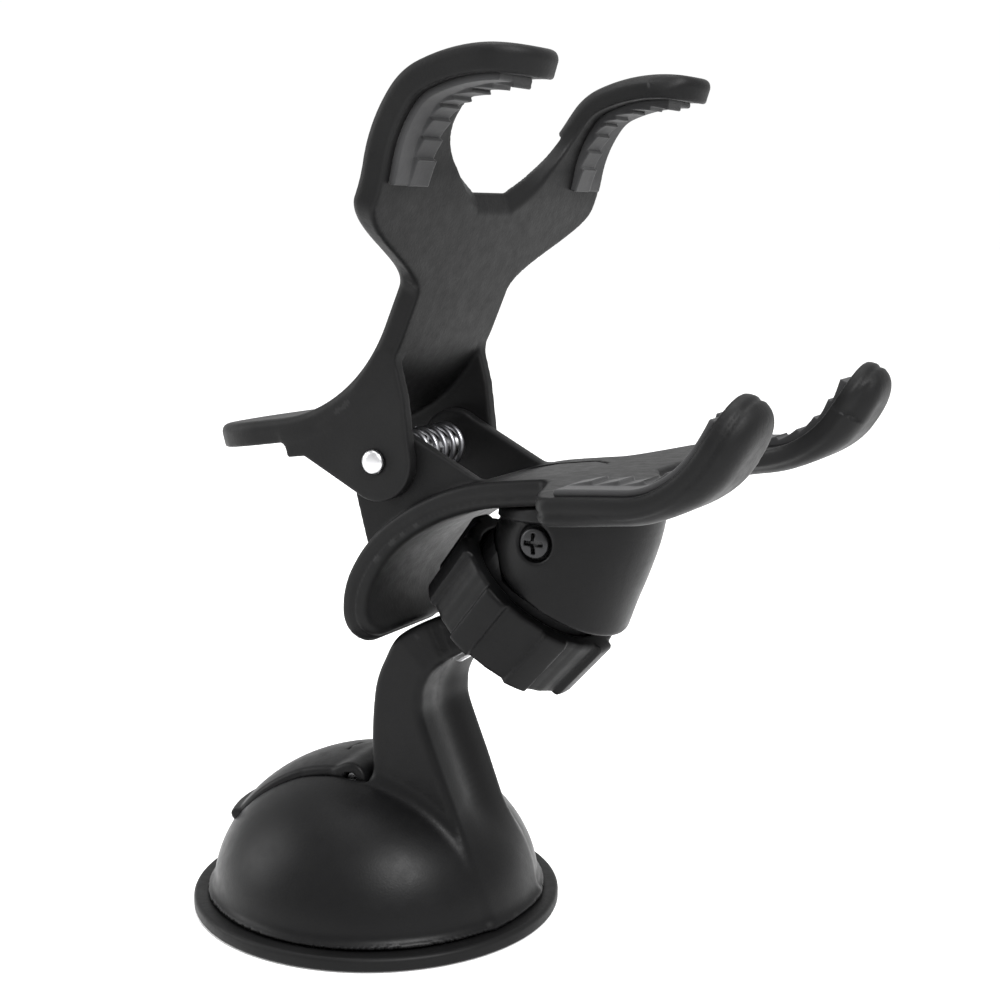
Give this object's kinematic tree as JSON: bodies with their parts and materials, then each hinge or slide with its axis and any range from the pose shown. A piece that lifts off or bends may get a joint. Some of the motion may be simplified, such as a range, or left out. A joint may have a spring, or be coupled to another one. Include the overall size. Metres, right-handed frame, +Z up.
{
  "type": "car phone mount",
  "caption": "Suction-foot car phone mount with a cam lever, ball-jointed neck with a ribbed lock nut, and a spring clip with two forked, rubber-padded jaws.",
  "frame": {"origin": "Middle of the suction cup's flat underside.", "axes": "+Z is up from the surface the cup holds, +X is the way the jaws point and -Y is the side with the visible head screw; the object mirrors across Y = 0."},
  "size_m": [0.1197, 0.0768, 0.1506],
  "materials": {
    "black_moulding": "satin black plastic",
    "satin_moulding": "fine-grained matt black plastic",
    "pad_rubber": "soft dark grey rubber",
    "cup_rubber": "smooth black rubber",
    "nylon_liner": "natural nylon",
    "bright_steel": "plain bright steel",
    "black_screw": "black oxide screw"
  },
  "bodies": {
    "base": {"suction_cup": "cup_rubber", "guide_plate": "black_moulding", "base_cover": "black_moulding", "cover_screw_1": "black_screw", "cover_screw_2": "black_screw", "cover_screw_3": "black_screw"},
    "post": {"pull_post": "bright_steel", "lever_pin": "bright_steel"},
    "lever": {"suction_lever": "black_moulding"},
    "ball": {"ball_stud": "bright_steel"},
    "liner": {"socket_liner": "nylon_liner"},
    "head": {"threaded_collar": "black_moulding", "head_shell": "black_moulding", "shell_screw_near": "black_screw", "shell_screw_far": "black_screw", "lower_jaw": "satin_moulding", "inlay_plate": "satin_moulding", "lower_pad_near": "pad_rubber", "lower_pad_far": "pad_rubber", "hinge_rivet": "bright_steel", "torsion_spring": "bright_steel"},
    "nut": {"lock_nut": "black_moulding"},
    "upper_jaw": {"upper_jaw": "satin_moulding", "upper_pad_near": "pad_rubber", "upper_pad_far": "pad_rubber"}
  },
  "joints": [
    {"name": "post_slide", "type": "slide", "parent": "base", "child": "post", "axis": [0, 0, 1], "range_m": [-0.003, 0], "deforming": ["suction_cup"]},
    {"name": "lever_hinge", "type": "hinge", "parent": "post", "child": "lever", "pos_m": [0.0003, 0, 0.0252], "axis": [0, 1, 0], "range_deg": [0, 75]},
    {"name": "ball_swivel", "type": "hinge", "parent": "base", "child": "ball", "pos_m": [0.0306, 0, 0.0598], "axis": [0.8387, 0, 0.5446], "range_deg": [-10, 10]},
    {"name": "head_tilt", "type": "hinge", "parent": "ball", "child": "liner", "pos_m": [0.0306, 0, 0.0598], "axis": [0, 1, 0], "range_deg": [0, 25]},
    {"name": "head_side_tilt", "type": "hinge", "parent": "liner", "child": "head", "pos_m": [0.0306, 0, 0.0598], "axis": [-0.5446, 0, 0.8387], "range_deg": [-8, 8]},
    {"name": "lock_nut_turn", "type": "hinge", "parent": "head", "child": "nut", "pos_m": [0.0306, 0, 0.0598], "axis": [0.6334, 0, 0.7738], "range_deg": [0, 180]},
    {"name": "jaw_hinge", "type": "hinge", "parent": "head", "child": "upper_jaw", "pos_m": [0.0099, 0, 0.0849], "axis": [0, -1, 0], "range_deg": [0, 70], "stiffness_Nm_per_rad": 0.12, "springref_deg": -34.38, "deforming": ["torsion_spring"]}
  ],
  "couplings": [
    {"joint": "lever_hinge", "follows": "post_slide", "rad_per_m": -436.3}
  ]
}
